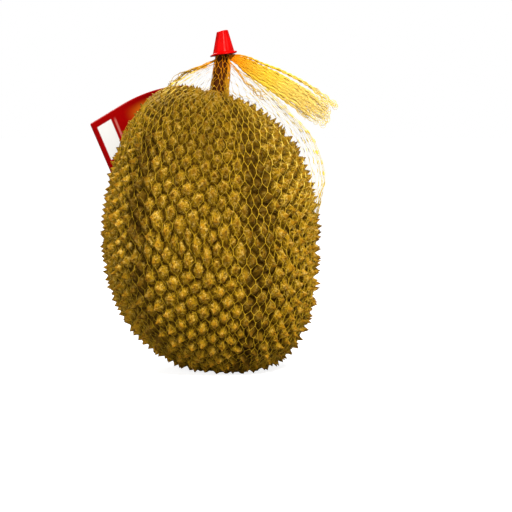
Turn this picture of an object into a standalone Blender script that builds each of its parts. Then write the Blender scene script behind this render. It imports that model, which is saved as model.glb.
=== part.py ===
"""A whole durian in its carry net: thorny husk, stalk, net bag with a free tail, closure cap, label.

Metres, +Z up. The origin is the middle of the small flat spot that the fruit stands on. The long axis
runs up +Z, the net's free tail points along +X and the label lies on the -X shoulder, towards +Y.
"""
import math

import bmesh
import bpy
import numpy as np
from mathutils import Vector
from mathutils.bvhtree import BVHTree

MM = 0.001
GAP = 0.3 * MM                     # clearance between touching pieces
GOLDEN_TURN = math.pi * (3 - math.sqrt(5))
SEED = 11

# Husk body, measured to the valleys between the thorns
HUSK_RADIUS = 89 * MM
HUSK_DEPTH_RATIO = 0.97            # depth over width
WIDEST_Z = 113 * MM                # height of the widest ring
BASE_HALF = WIDEST_Z + 0.6 * MM    # widest ring down to the base, which the flat spot trims
CROWN_HALF = 132 * MM              # widest ring up to the crown
BASE_POWER = 2.4                   # superellipse powers: 2 is round, more is squarer
CROWN_POWER = 2.45
MIDDLE_X = -16.5 * MM                # the widest ring's centre, off the flat spot
CROWN_X = -26 * MM                 # the crown's centre
CROWN_SLOPE = 0.15                 # the crown falls towards +X
SHOULDER_DRAW = 0.22               # how far the -X shoulder is drawn in at the crown
LOBES = 5                          # soft bulges over the five seed chambers
LOBE_DEPTH = 0.012
LOBE_TURN = 0.4

# Thorns
THORN_PITCH = 12.8 * MM            # between tips at the widest ring
POLE_PITCH = 9.2 * MM              # at the base and at the crown
THORN_HEIGHT = 9.6 * MM
POLE_THORN = 0.58                  # height at the poles over the height at the widest ring
THORN_BIAS = 0.18                  # thorns are longer on the +X side and shorter on the -X side
THORN_SPREAD = 0.10                # how much the heights differ
THORN_LEAN = 0.18                  # sideways lean over height
SITE_JITTER = 0.15                 # scatter of the thorns over their pitch
BARE_RING = 1 * MM                 # thornless ring around the stalk
SHORT_RING = 14 * MM               # ring in which the thorns grow to their full height

# Stalk
STALK_BASE_X = -9.5 * MM
STALK_TOP_X = -4.4 * MM
STALK_SEAT_Z = 236 * MM            # floor of the socket in the crown
STALK_TOP_Z = 286 * MM
STALK_BASE_R = 8.0 * MM
STALK_TOP_R = 5.0 * MM
KNUCKLE = 0.4 * MM                 # the joint where a ripe fruit drops
ROUND_SIDES = 20

# Net bag
NET_WALL = 0.9 * MM
NET_CLEARANCE = 0.9 * MM           # from the longest thorn tips to the wall
NET_HEM_Z = 3 * MM                 # where the wall ends around the flat spot
NET_AXIS_X = -8 * MM               # the net is gathered towards the stalk's axis
NET_TURNS = 40                     # steps around the bag
BODY_ROWS = 20                     # steps from the hem to the stalk's foot
SLEEVE_ROWS = 4                    # steps up the stalk to the pinch
NECK_ROWS = 3                      # steps from the pinch up into the cap
SLEEVE_GAP = 0.35 * MM
PINCH_Z = 270.5 * MM               # where the net is gathered around the stalk
NECK_TOP_Z = 284 * MM              # the neck ends inside the cap
SLACK = 8 * MM                     # how far the loose net stands off the +X shoulder
SLACK_FROM_Z = 140 * MM
SLACK_TO_Z = 262 * MM
SLACK_RISE = 0.6                   # the slack's upward share
TENT_SIDES = (0.35, 0.85)          # the tent fades in between these cosines of the turn
TENT_BULGE = 2 * MM

# Free tail of the net, a flat band that leaves the neck under the cap's rim: x, z and half width
TAIL_ROUTE = (
    (0.1, 274.4, 2.6), (3, 274.2, 3.6), (8, 271.8, 6.3), (22, 264, 10), (37, 256.8, 10.2),
    (55, 247.8, 10.8), (67, 240, 11.4), (79, 231, 11.4), (88, 224, 11.4),
)
TAIL_FLATNESS = 0.26               # thickness over width

# Closure cap
CAP_RIM = Vector((-3.9, 0, 278.0)) * MM
CAP_LENGTH = 20.6 * MM
CAP_TILT = math.radians(-9)        # the closed end leans towards -X
CAP_RIM_R = 9.5 * MM
CAP_TOP_R = 5.3 * MM
CAP_WALL = 0.9 * MM
CAP_FLANGE_R = 12.0 * MM
CAP_FLANGE_THICK = 1.3 * MM
CAP_ROUND = 0.8 * MM
CAP_SIDES = 32

# Label
LABEL_SIZE = (100 * MM, 74 * MM)
LABEL_THICK = 0.5 * MM
LABEL_ROUND = 4 * MM
LABEL_STEPS = 20
LABEL_CORNER = Vector((-125.3, 28.0, 217.5)) * MM
LABEL_SIDE = Vector((0.786, 0.358, 0.503)).normalized()    # along the upper edge from the corner
LABEL_FALL = Vector((0.283, 0.516, -0.809)).normalized()   # down the free side
LABEL_FREE = 30.3 * MM             # flat stretch before the label follows the fruit
LABEL_BEND_R = 65.2 * MM
LABEL_SKEW = math.radians(22)      # the bend's axis against the free side


def material(name, colour, roughness, metallic=0.0):
    mat = bpy.data.materials.new(name)
    mat.use_nodes = True
    shader = mat.node_tree.nodes["Principled BSDF"]
    shader.inputs["Base Color"].default_value = (*colour, 1)
    shader.inputs["Roughness"].default_value = roughness
    shader.inputs["Metallic"].default_value = metallic
    return mat


def add_object(name, mesh, mat, collection):
    obj = bpy.data.objects.new(name, mesh)
    obj.data.materials.append(mat)
    collection.objects.link(obj)
    return obj


def mesh_from(bm, name):
    bmesh.ops.recalc_face_normals(bm, faces=bm.faces)
    mesh = bpy.data.meshes.new(name)
    bm.to_mesh(mesh)
    bm.free()
    return mesh


def cut(obj, cutter, operation="DIFFERENCE"):
    mod = obj.modifiers.new(cutter.name, "BOOLEAN")
    mod.operation = operation
    mod.object = cutter


def smooth_step(low, high, value):
    t = min(max((value - low) / (high - low), 0), 1)
    return t * t * (3 - 2 * t)


# ---- husk -------------------------------------------------------------------------------------------

def ovoid(direction):
    """The plain ovoid's point in this direction from its centre: two half superellipsoids."""
    d = direction.normalized()
    half, power = (CROWN_HALF, CROWN_POWER) if d.z > 0 else (BASE_HALF, BASE_POWER)
    across = math.hypot(d.x, d.y) / HUSK_RADIUS
    return d * (across ** power + (abs(d.z) / half) ** power) ** (-1 / power)


def husk_body(p):
    """A point of the plain ovoid moved onto the real body: soft lobes, a lean and a sloping crown."""
    lobe = 1 + LOBE_DEPTH * math.cos(LOBES * (math.atan2(p.y, p.x) - LOBE_TURN))
    side = p.x * lobe
    if p.z > 0:
        rise = (p.z / CROWN_HALF) ** 2
        centre = MIDDLE_X + (CROWN_X - MIDDLE_X) * rise
        drop = CROWN_SLOPE * p.x * rise
        if side < 0:
            side *= 1 - SHOULDER_DRAW * rise
    else:
        centre = MIDDLE_X * (1 - (p.z / BASE_HALF) ** 2)
        drop = 0
    return Vector((side + centre, p.y * lobe * HUSK_DEPTH_RATIO, p.z + WIDEST_Z - drop))


def polar_point(polar, turn):
    """Ovoid point at a polar angle from the base and a turn around the axis."""
    side = math.sin(polar)
    return ovoid(Vector((side * math.cos(turn), side * math.sin(turn), -math.cos(polar))))


def thorn_size(z):
    """1 at the widest ring and falling to 0 at the poles, for a height on the plain ovoid."""
    half = CROWN_HALF if z > 0 else BASE_HALF
    return math.sqrt(max(1 - (z / half) ** 2, 0))


def full_height(p):
    """Usual thorn height at a point of the plain ovoid: short at the poles, long on the +X side."""
    grown = POLE_THORN + (1 - POLE_THORN) * thorn_size(p.z)
    return THORN_HEIGHT * grown * (1 + THORN_BIAS * p.x / HUSK_RADIUS)


def thorn_sites():
    """Thorn sites on the plain ovoid along a golden-angle spiral, at the local pitch."""
    polar = np.linspace(0, math.pi, 1201)
    ring = [polar_point(a, 0) for a in polar]
    radius = np.array([p.x for p in ring])
    pitch = np.array([POLE_PITCH + (THORN_PITCH - POLE_PITCH) * thorn_size(p.z) for p in ring])
    step = np.array([(b - a).length for a, b in zip(ring, ring[1:])])
    density = 2 * math.pi * radius / (pitch ** 2 * math.sqrt(3) / 2)
    count = np.concatenate(([0], np.cumsum((density[1:] + density[:-1]) / 2 * step)))
    scatter = np.random.RandomState(SEED)
    sites = []
    for i in range(int(count[-1])):
        near = np.interp(i + 0.5, count, polar)
        row = 2 * math.pi * np.interp(near, polar, radius) / np.interp(near, polar, pitch)
        shift, slide = scatter.uniform(-SITE_JITTER, SITE_JITTER, 2)
        a = np.interp(i + 0.5 + shift * row, count, polar)
        sites.append(polar_point(a, i * GOLDEN_TURN + slide * 2 * math.pi / row))
    return sites


def thorn_height(p, height):
    """Height of a thorn at body point p, where the usual one is given: none where the stalk stands."""
    if p.z > WIDEST_Z:
        bare = STALK_BASE_R + BARE_RING
        height *= smooth_step(bare, bare + SHORT_RING, math.hypot(p.x - STALK_BASE_X, p.y))
    return height


def make_husk(mat, parts, cutters):
    """Pyramid thorns whose bases fill the body's surface: the sites' triangles are poked in their
    middles and the edges between sites are turned, so that each site is ringed by valley points."""
    bm = bmesh.new()
    for p in thorn_sites():
        bm.verts.new(p)
    bmesh.ops.convex_hull(bm, input=bm.verts[:])
    tips = bm.verts[:]
    between = bm.edges[:]
    bmesh.ops.poke(bm, faces=bm.faces[:])
    bmesh.ops.rotate_edges(bm, edges=between)
    usual = [full_height(v.co) for v in tips]
    for v in bm.verts:
        v.co = husk_body(ovoid(v.co))
    bm.normal_update()
    scatter = np.random.RandomState(SEED + 1)
    lift = []
    for v, full in zip(tips, usual):
        lean = Vector(scatter.uniform(-THORN_LEAN, THORN_LEAN, 3))
        height = thorn_height(v.co, full) * (1 + scatter.uniform(-THORN_SPREAD, THORN_SPREAD))
        lift.append((v.normal + lean).normalized() * height)
    for v, offset in zip(tips, lift):
        v.co += offset
    husk = add_object("husk", mesh_from(bm, "husk"), mat, parts)
    cut(husk, make_ground(cutters))
    cut(husk, make_socket(cutters))
    return husk


def as_cutter(name, bm, cutters):
    obj = bpy.data.objects.new(name, mesh_from(bm, name))
    obj.hide_render = True
    obj.display_type = "WIRE"
    cutters.objects.link(obj)
    return obj


def make_ground(cutters):
    """Everything under the flat spot."""
    bm = bmesh.new()
    bmesh.ops.create_cube(bm, size=1)
    bmesh.ops.scale(bm, vec=(0.3, 0.3, 0.04), verts=bm.verts)
    bmesh.ops.translate(bm, vec=(0, 0, -0.02), verts=bm.verts)
    return as_cutter("ground_cut", bm, cutters)


# ---- stalk ------------------------------------------------------------------------------------------

def stalk_share(z):
    return (z - STALK_SEAT_Z) / (STALK_TOP_Z - STALK_SEAT_Z)


def stalk_radius(z):
    """A swollen foot, a slim neck and a slight knuckle."""
    t = stalk_share(z)
    knuckle = KNUCKLE * math.exp(-((t - 0.55) / 0.08) ** 2)
    return STALK_TOP_R + (STALK_BASE_R - STALK_TOP_R) * max(1 - t, 0) ** 1.4 + knuckle


def stalk_centre(z):
    return STALK_BASE_X + (STALK_TOP_X - STALK_BASE_X) * stalk_share(z)


def loft(rings, capped):
    """Skin closed rings of points, from the lowest to the highest."""
    bm = bmesh.new()
    loops = []
    for ring in rings:
        verts = [bm.verts.new(p) for p in ring]
        loops.append([bm.edges.new((a, b)) for a, b in zip(verts, verts[1:] + verts[:1])])
    for low, high in zip(loops, loops[1:]):
        bmesh.ops.bridge_loops(bm, edges=low + high)
    if capped:
        for loop in (loops[0], loops[-1]):
            bmesh.ops.contextual_create(bm, geom=loop)
    return bm


def ring_around_stalk(z, radius, turns):
    x = stalk_centre(z)
    return [Vector((x + radius * math.cos(a), radius * math.sin(a), z)) for a in turns]


def full_circle(steps):
    return [2 * math.pi * k / steps for k in range(steps)]


def make_stalk(mat, parts):
    turns = full_circle(ROUND_SIDES)
    heights = np.linspace(STALK_SEAT_Z, STALK_TOP_Z, 15)
    rings = [ring_around_stalk(z, stalk_radius(z), turns) for z in heights]
    return add_object("stalk", mesh_from(loft(rings, capped=True), "stalk"), mat, parts)


def make_socket(cutters):
    """The stalk's seat in the crown, one gap wider than the stalk."""
    turns = full_circle(ROUND_SIDES)
    heights = np.linspace(STALK_SEAT_Z - GAP, STALK_SEAT_Z + 20 * MM, 7)
    rings = [ring_around_stalk(z, stalk_radius(z) + GAP, turns) for z in heights]
    return as_cutter("stalk_socket", loft(rings, capped=True), cutters)


# ---- net bag ----------------------------------------------------------------------------------------

def wrap_tree():
    """Search tree of the smooth surface just outside the thorn tips."""
    bm = bmesh.new()
    bmesh.ops.create_uvsphere(bm, u_segments=72, v_segments=48, radius=1)
    usual = []
    for v in bm.verts:
        p = ovoid(v.co)
        usual.append(full_height(p))
        v.co = husk_body(p)
    bm.normal_update()
    for v, full in zip(bm.verts, usual):
        v.co += v.normal * (full * (1 + THORN_SPREAD) + NET_CLEARANCE)
    tree = BVHTree.FromBMesh(bm)
    bm.free()
    return tree


def wrap_hit(tree, turn, dip):
    """The wrap's point seen from the fruit's middle, on the half plane at this turn."""
    middle = Vector((NET_AXIS_X, 0, WIDEST_Z))
    way = Vector((math.cos(turn) * math.cos(dip), math.sin(turn) * math.cos(dip), math.sin(dip)))
    return tree.ray_cast(middle, way)[0]


def slack(turn, z):
    """How far the loose net stands off the shoulder on the +X side."""
    rise = min(max((z - SLACK_FROM_Z) / (SLACK_TO_Z - SLACK_FROM_Z), 0), 1)
    return SLACK * smooth_step(0.1, 0.9, math.cos(turn)) * math.sin(math.pi * rise)


def along(points, count):
    """The same route with evenly spaced points."""
    steps = [0.0]
    for a, b in zip(points, points[1:]):
        steps.append(steps[-1] + (b - a).length)
    wanted = np.linspace(0, steps[-1], count)
    columns = [np.interp(wanted, steps, [p[axis] for p in points]) for axis in range(3)]
    return [Vector(p) for p in zip(*columns)]


def hem_dip(tree, turn):
    low, high = math.radians(-88), math.radians(-40)
    for _ in range(24):
        middle = (low + high) / 2
        if wrap_hit(tree, turn, middle).z < NET_HEM_Z:
            low = middle
        else:
            high = middle
    return high


def tent_share(turn):
    """1 where the net stands as a tent, 0 in front and behind, where it hugs the stalk."""
    return smooth_step(*TENT_SIDES, abs(math.cos(turn)))


def sleeve(turn, low, high, rows):
    """Points up the stalk, just clear of its bark."""
    heights = np.linspace(low, high, rows + 1)[1:]
    return [ring_around_stalk(z, stalk_radius(z) + SLEEVE_GAP, [turn])[0] for z in heights]


def net_meridian(tree, turn):
    """From the hem up the fruit to the stalk's foot, up the stalk to the pinch and into the cap. Along
    +X and -X the net leaves the shoulder for the pinch in a straight line, as a tent."""
    foot_dip = math.acos((stalk_radius(STALK_SEAT_Z) + SLEEVE_GAP) / CROWN_HALF)
    out = Vector((math.cos(turn), math.sin(turn), 0))
    up = Vector((0, 0, 1))
    body = []
    for dip in np.linspace(hem_dip(tree, turn), foot_dip, 4 * BODY_ROWS):
        p = wrap_hit(tree, turn, dip)
        body.append(p + (out + up * SLACK_RISE) * slack(turn, p.z))
    body = along(body, BODY_ROWS)
    hugging = body + sleeve(turn, body[-1].z, PINCH_Z, SLEEVE_ROWS)
    pinch = hugging[-1]
    reach = [math.atan2((p - pinch).dot(out), pinch.z - p.z) for p in body]
    shoulder = reach.index(max(reach))
    upper = hugging[shoulder:]
    route = hugging[:shoulder]
    for k, p in enumerate(upper):
        t = k / (len(upper) - 1)
        bulge = (out + up) * TENT_BULGE * math.sin(math.pi * t)
        route.append(p.lerp(body[shoulder].lerp(pinch, t) + bulge, tent_share(turn)))
    return route + sleeve(turn, PINCH_Z, NECK_TOP_Z, NECK_ROWS)


def make_net_bag(mat, parts, cutters):
    tree = wrap_tree()
    meridians = [net_meridian(tree, turn) for turn in full_circle(NET_TURNS)]
    rings = list(zip(*meridians))
    bag = add_object("net_bag", mesh_from(loft(rings, capped=False), "net_bag"), mat, parts)
    wall = bag.modifiers.new("wall", "SOLIDIFY")
    wall.thickness = NET_WALL
    wall.offset = 1
    cut(bag, make_tail(cutters), "UNION")
    return bag


def make_tail(cutters):
    """The flat band, a round tube along its route that is then pressed flat."""
    curve = bpy.data.curves.new("net_tail", "CURVE")
    curve.dimensions = "3D"
    curve.resolution_u = 3
    curve.bevel_depth = MM
    curve.bevel_resolution = 3
    curve.use_fill_caps = True
    spline = curve.splines.new("BEZIER")
    spline.bezier_points.add(len(TAIL_ROUTE) - 1)
    for point, (x, z, half_width) in zip(spline.bezier_points, TAIL_ROUTE):
        point.co = Vector((x, 0, z)) * MM
        point.radius = half_width
        point.handle_left_type = point.handle_right_type = "AUTO"
    guide = bpy.data.objects.new("net_tail_route", curve)
    cutters.objects.link(guide)
    bpy.context.view_layer.update()
    mesh = bpy.data.meshes.new_from_object(guide.evaluated_get(bpy.context.evaluated_depsgraph_get()))
    bpy.data.objects.remove(guide)
    bm = bmesh.new()
    bm.from_mesh(mesh)
    bpy.data.meshes.remove(mesh)
    bmesh.ops.remove_doubles(bm, verts=bm.verts, dist=0.01 * MM)
    bmesh.ops.scale(bm, vec=(1, TAIL_FLATNESS, 1), verts=bm.verts)
    return as_cutter("net_tail", bm, cutters)


# ---- closure cap ------------------------------------------------------------------------------------

def make_cap(mat, parts):
    """Hollow tapered cap with a flange at its open rim, turned from its profile."""
    inner_rim, inner_top = CAP_RIM_R - CAP_WALL, CAP_TOP_R - CAP_WALL
    profile = (
        (0, CAP_LENGTH), (CAP_TOP_R - CAP_ROUND, CAP_LENGTH), (CAP_TOP_R, CAP_LENGTH - CAP_ROUND),
        (CAP_RIM_R, CAP_FLANGE_THICK), (CAP_FLANGE_R, CAP_FLANGE_THICK), (CAP_FLANGE_R, 0),
        (inner_rim, 0), (inner_top, CAP_LENGTH - CAP_WALL), (0, CAP_LENGTH - CAP_WALL),
    )
    bm = bmesh.new()
    verts = [bm.verts.new((radius, 0, z)) for radius, z in profile]
    for a, b in zip(verts, verts[1:]):
        bm.edges.new((a, b))
    mesh = bpy.data.meshes.new("closure_cap")
    bm.to_mesh(mesh)
    bm.free()
    cap = add_object("closure_cap", mesh, mat, parts)
    turn = cap.modifiers.new("turned", "SCREW")
    turn.steps = turn.render_steps = CAP_SIDES
    turn.use_merge_vertices = True
    turn.merge_threshold = 0.01 * MM
    cap.location = CAP_RIM
    cap.rotation_euler = (0, CAP_TILT, 0)
    return cap


# ---- label ------------------------------------------------------------------------------------------

def label_point(across, down):
    """Where a point of the flat label lies: flat at first, then bent round the fruit's shoulder."""
    rise = LABEL_SIDE * math.cos(LABEL_SKEW) - LABEL_FALL * math.sin(LABEL_SKEW)
    axis = LABEL_SIDE * math.sin(LABEL_SKEW) + LABEL_FALL * math.cos(LABEL_SKEW)
    inward = axis.cross(rise)
    run = across * math.cos(LABEL_SKEW) - down * math.sin(LABEL_SKEW)
    level = across * math.sin(LABEL_SKEW) + down * math.cos(LABEL_SKEW)
    flat = min(run, LABEL_FREE)
    angle = (run - flat) / LABEL_BEND_R
    forward = flat + LABEL_BEND_R * math.sin(angle)
    bent = LABEL_BEND_R * (1 - math.cos(angle))
    return LABEL_CORNER + rise * forward + inward * bent + axis * level


def make_label(mat, parts):
    bm = bmesh.new()
    bmesh.ops.create_grid(bm, x_segments=LABEL_STEPS, y_segments=2, size=0.5)
    bmesh.ops.translate(bm, vec=(0.5, 0.5, 0), verts=bm.verts)
    bmesh.ops.scale(bm, vec=(*LABEL_SIZE, 1), verts=bm.verts)
    corners = [v for v in bm.verts if len(v.link_faces) == 1]
    bmesh.ops.bevel(bm, geom=corners, affect="VERTICES", offset=LABEL_ROUND, offset_type="OFFSET",
                    segments=4, profile=0.5)
    for v in bm.verts:
        v.co = label_point(v.co.x, v.co.y)
    label = add_object("label", mesh_from(bm, "label"), mat, parts)
    sheet = label.modifiers.new("sheet", "SOLIDIFY")
    sheet.thickness = LABEL_THICK
    sheet.offset = 0
    return label


def build():
    for obj in list(bpy.data.objects):
        bpy.data.objects.remove(obj, do_unlink=True)
    parts = bpy.data.collections.new("durian")
    cutters = bpy.data.collections.new("durian_cutters")
    for collection in (parts, cutters):
        bpy.context.scene.collection.children.link(collection)
    make_husk(material("husk_skin", (0.30, 0.22, 0.05), 0.75), parts, cutters)
    make_stalk(material("stalk_bark", (0.20, 0.11, 0.04), 0.85), parts)
    make_net_bag(material("net_yarn", (0.85, 0.55, 0.06), 0.45), parts, cutters)
    make_cap(material("cap_red", (0.75, 0.01, 0.01), 0.3), parts)
    make_label(material("label_card", (0.62, 0.02, 0.03), 0.4), parts)


build()
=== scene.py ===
"""A whole durian in its knitted carry net, with stalk, closure cap and label, on a pale floor."""
import math

import bmesh
import bpy
import numpy as np
from mathutils import Matrix, Vector, noise as drift_noise
from mathutils.bvhtree import BVHTree


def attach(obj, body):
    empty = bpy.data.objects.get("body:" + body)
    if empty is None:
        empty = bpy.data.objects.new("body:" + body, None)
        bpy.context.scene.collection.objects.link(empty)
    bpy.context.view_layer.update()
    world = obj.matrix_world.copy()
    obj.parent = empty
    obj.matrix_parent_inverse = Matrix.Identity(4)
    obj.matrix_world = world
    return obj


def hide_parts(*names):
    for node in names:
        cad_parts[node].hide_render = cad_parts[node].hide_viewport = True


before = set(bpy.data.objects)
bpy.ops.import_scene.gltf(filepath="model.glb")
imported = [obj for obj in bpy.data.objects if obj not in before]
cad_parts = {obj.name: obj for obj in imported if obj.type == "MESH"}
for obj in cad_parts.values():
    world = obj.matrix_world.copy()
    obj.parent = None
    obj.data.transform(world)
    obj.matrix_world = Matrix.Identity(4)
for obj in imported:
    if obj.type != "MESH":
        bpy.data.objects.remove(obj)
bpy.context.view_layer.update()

MM = 0.001
GOLDEN_TURN = math.pi * (3 - math.sqrt(5))
SEED = 11

# Husk body, as the part has it
HUSK_RADIUS = 89 * MM
HUSK_DEPTH_RATIO = 0.97
WIDEST_Z = 113 * MM
BASE_HALF = WIDEST_Z + 0.6 * MM
CROWN_HALF = 132 * MM
BASE_POWER = 2.4
CROWN_POWER = 2.45
MIDDLE_X = -16.5 * MM
CROWN_X = -26 * MM
CROWN_SLOPE = 0.15
SHOULDER_DRAW = 0.22
LOBES = 5
LOBE_DEPTH = 0.012
LOBE_TURN = 0.4

# Thorns, as the part has them
THORN_PITCH = 12.8 * MM
POLE_PITCH = 9.2 * MM
THORN_HEIGHT = 9.6 * MM
POLE_THORN = 0.58
THORN_BIAS = 0.18
THORN_SPREAD = 0.10
THORN_LEAN = 0.18
SITE_JITTER = 0.15
SPIRAL_SAMPLES = 1201
BARE_RING = 1 * MM
SHORT_RING = 14 * MM

# Thorn finish
SKIN_STEPS = 2                     # halvings of each flank's edges
FLANK_HOLLOW = 0.37                # 0 is a straight flank, 1 a needle
FLANK_POWER = 3.0
TIP_CURL = 1.6 * MM
SKIN_GRAIN = 0.5 * MM
RIDGE_ANGLE = math.radians(24)
GROOVE_SHADE_TURN = math.radians(-60)      # painted shade along the five grooves between the lobes, placed from this turn

# Stalk, as the part has it
STALK_BASE_X = -9.5 * MM
STALK_TOP_X = -4.4 * MM
STALK_SEAT_Z = 236 * MM
STALK_TOP_Z = 286 * MM
STALK_BASE_R = 8.0 * MM
STALK_TOP_R = 5.0 * MM
KNUCKLE = 0.4 * MM
STALK_SIDES = 48
STALK_RINGS = 60
BARK_DEPTH = 0.35 * MM

# Net bag, as the part has it
NET_CLEARANCE = 0.9 * MM
NET_AXIS_X = -8 * MM
SLEEVE_GAP = 0.35 * MM
PINCH_Z = 270.5 * MM
TENT_SIDES = (0.35, 0.85)
TENT_BULGE = 2 * MM

# Net yarn and cells
WALES = 74                         # cells around the bag
ROWS = 42                          # half cells from the base to the pinch
ROW_GROWTH = 1.28                  # the cells are drawn longer toward the stalk
YARN_RADIUS = 0.21 * MM
KNOT_SWELL = 1.6                   # a knot's radius over the yarn's
KNOT_SHARE = 0.42                  # length of a knot over the row height
STRAND_STEPS = 3
NET_SINK = 8.6 * MM                # how far the taut net lies below the longest tips
YARN_SIDES = 3
SLACK = 10 * MM
SLACK_FROM_Z = 138 * MM
SLACK_TO_Z = 268 * MM
SLACK_RISE = 0.6
SLACK_SIDES = (0.35, 0.95)         # cosines of the turn from +X where slack begins and is full
LOOSE_YARN = 0.30                  # yarn radius where the net hangs free, over the taut yarn's
CROWN_NET = (165 * MM, 220 * MM)   # over this height the net rises onto the tips
CROWN_LIFT = 0.55
TENT_CROWD = (15 * MM, 65 * MM)    # from the cap, where the drawn-in yarn is crowded
TENT_YARN = 0.4
LOOSE_KNOT = 1.15
FAINT_SHARE = 0.40                 # of the free knots, drawn thin
FAINT_KNOT = 0.3
CRISP_KNOT = 1.5                   # free yarn thins close to its knots
FLOOR_LIFT = 0.5 * MM
SKIN_LIFT = 0.35 * MM              # yarn's centre above the skin
TOUCH_REACH = 7 * MM               # yarn further from the skin than this, less if free, is left alone
TENSION = 0.35
STRAY = 3.6 * MM
STRAY_SCALE = 42.0                 # waves per metre
YARN_REACH = 120 * MM              # distance from the cap over which the yarn changes colour
SETTLE_ROUNDS = 26
SETTLE_DIGITS = 6                  # each round ends on whole micrometres
HOLD_TAUT = 0.04                   # how strongly a point is held where it was laid
HOLD_FREE = 0.7                    # and how much more where the yarn is free
FREE_ENOUGH = 0.9                  # yarn freer than this never touches the skin
FOOT_DIP = math.radians(-84)       # where a wale starts under the fruit
BODY_SAMPLES = 110
NECK_SAMPLES = 25
KNOT_JITTER = 1.1                  # mm
FREE_KNOT_CUT = 0.45               # a free knot is this much shorter

# Sleeve around the stalk
SLEEVE_WALES = 10
SLEEVE_ROWS = 8
SLEEVE_FROM_Z = 238 * MM
SLEEVE_TO_Z = 279 * MM
SLEEVE_YARN = 0.24 * MM
SLEEVE_LIFT = 0.3 * MM
SLEEVE_KNOT = 0.9                  # mm, half a knot's length
SLEEVE_JITTER = 0.34               # share of a wale
SLEEVE_SWELL = 1.5

# Gathered bundles
ROPE_YARN = 0.26 * MM
ROPE_TURNS = 2.5
ROPE_STEPS = 40

# Free tail: x, z and half width along the band
TAIL_ROUTE = (
    (0.1, 275.8, 2.6), (4.7, 275.4, 4.0), (10.6, 273.4, 6.2), (16.4, 269.9, 8.8), (26, 264, 10.6),
    (40, 257, 11.6), (55, 248, 11.4), (67, 240.5, 11.4), (79, 231, 11.2), (88, 224, 11),
)
TAIL_FLATNESS = 0.22
TAIL_STRANDS = 170
TAIL_STEPS = 90
TAIL_YARN = 0.27 * MM
FRINGE_FROM = 0.88                 # share of the strands from which they run loose above the band
UNDER_TO = 0.10                    # and up to which they run below it
LOOP_STEPS = 9                     # points around the loop at a strand's end

# Closure cap
CAP_RIM = Vector((-3.9, 0, 278.0)) * MM
CAP_LENGTH = 20.6 * MM
CAP_TILT = math.radians(-9)
CAP_RIM_R = 9.5 * MM
CAP_TOP_R = 5.3 * MM
CAP_WALL = 0.9 * MM
CAP_FLANGE_R = 12.0 * MM
CAP_FLANGE_THICK = 1.3 * MM
CAP_SIDES = 96
CAP_FACETS = 9
CAP_SKEW = 0.105                   # the cap stands straighter than its rim

# Label
LABEL_SIZE = (100 * MM, 74 * MM)
LABEL_THICK = 0.5 * MM
LABEL_ROUND = 4 * MM
LABEL_CORNER = Vector((-125.3, 28.0, 217.5)) * MM
LABEL_SIDE = Vector((0.786, 0.358, 0.503)).normalized()
LABEL_FALL = Vector((0.283, 0.516, -0.809)).normalized()
LABEL_FREE = 30.3 * MM
LABEL_BEND_R = 65.2 * MM
LABEL_SKEW = math.radians(22)

# View
AIM = Vector((24.6, 0, 100.3)) * MM
VIEW_WIDTH = 456 * MM
VIEW_LIFT = math.radians(5)
LENS = 100
AMBIENT = 0.42
FLOOR_GLOW = 0.85
SENSOR = 36
FLOOR_SIZE = 40                    # metres each way from the middle
# Each light's name, place, aim, size in metres, watts and tint
LIGHTS = (
    ("key", (0.36, -1.02, 1.12), (0, 0, 0.14), 0.22, 46, (1.0, 0.97, 0.90)),
    ("fill", (-0.9, -0.9, 0.5), (0, 0, 0.12), 0.8, 9, (1.0, 0.98, 0.93)),
    ("back", (-0.3, 0.9, 0.9), (0, 0, 0.15), 0.6, 12, (1.0, 1.0, 1.0)),
)


# ---- node helpers ----

def put(tree, kind, inputs=(), **settings):
    """A node with its settings, its inputs set or linked."""
    node = tree.nodes.new(kind)
    for key, value in settings.items():
        setattr(node, key, value)
    for key, value in dict(inputs).items():
        if isinstance(value, bpy.types.NodeSocket):
            tree.links.new(value, node.inputs[key])
        else:
            node.inputs[key].default_value = value
    return node


def maths(tree, operation, *values):
    return put(tree, "ShaderNodeMath", enumerate(values), operation=operation).outputs[0]


def times(tree, first, second):
    return maths(tree, "MULTIPLY", first, second)


def plus(tree, first, second):
    return maths(tree, "ADD", first, second)


def minus(tree, first, second):
    return maths(tree, "SUBTRACT", first, second)


def split_xyz(tree, vector):
    return put(tree, "ShaderNodeSeparateXYZ", {0: vector}).outputs


def joined_xyz(tree, x, y, z):
    return put(tree, "ShaderNodeCombineXYZ", {"X": x, "Y": y, "Z": z}).outputs[0]


def stored(tree, name, kind):
    return put(tree, "GeometryNodeInputNamedAttribute", {"Name": name}, data_type=kind).outputs[0]


def spot_of(tree):
    return put(tree, "GeometryNodeInputPosition").outputs[0]


def normal_of(tree):
    return put(tree, "GeometryNodeInputNormal").outputs[0]


def placed(tree, geometry, **inputs):
    return put(tree, "GeometryNodeSetPosition", {"Geometry": geometry, **inputs})


def vectors(tree, operation, *values):
    return put(tree, "ShaderNodeVectorMath", enumerate(values), operation=operation).outputs["Vector"]


def scaled(tree, vector, factor):
    node = put(tree, "ShaderNodeVectorMath", {0: vector, "Scale": factor}, operation="SCALE")
    return node.outputs["Vector"]


def ranged(tree, value, low, high, to_low=0.0, to_high=1.0):
    node = put(tree, "ShaderNodeMapRange", {0: value, 1: low, 2: high, 3: to_low, 4: to_high})
    node.interpolation_type = "SMOOTHSTEP"
    return node.outputs[0]


def noise(tree, vector, scale, detail=2.0, roughness=0.5):
    node = put(tree, "ShaderNodeTexNoise", {"Vector": vector, "Scale": scale, "Detail": detail,
                                            "Roughness": roughness})
    return node.outputs[0]


def mixed(tree, factor, first, second):
    return put(tree, "ShaderNodeMix", {0: factor, 6: first, 7: second}, data_type="RGBA").outputs[2]


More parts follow.
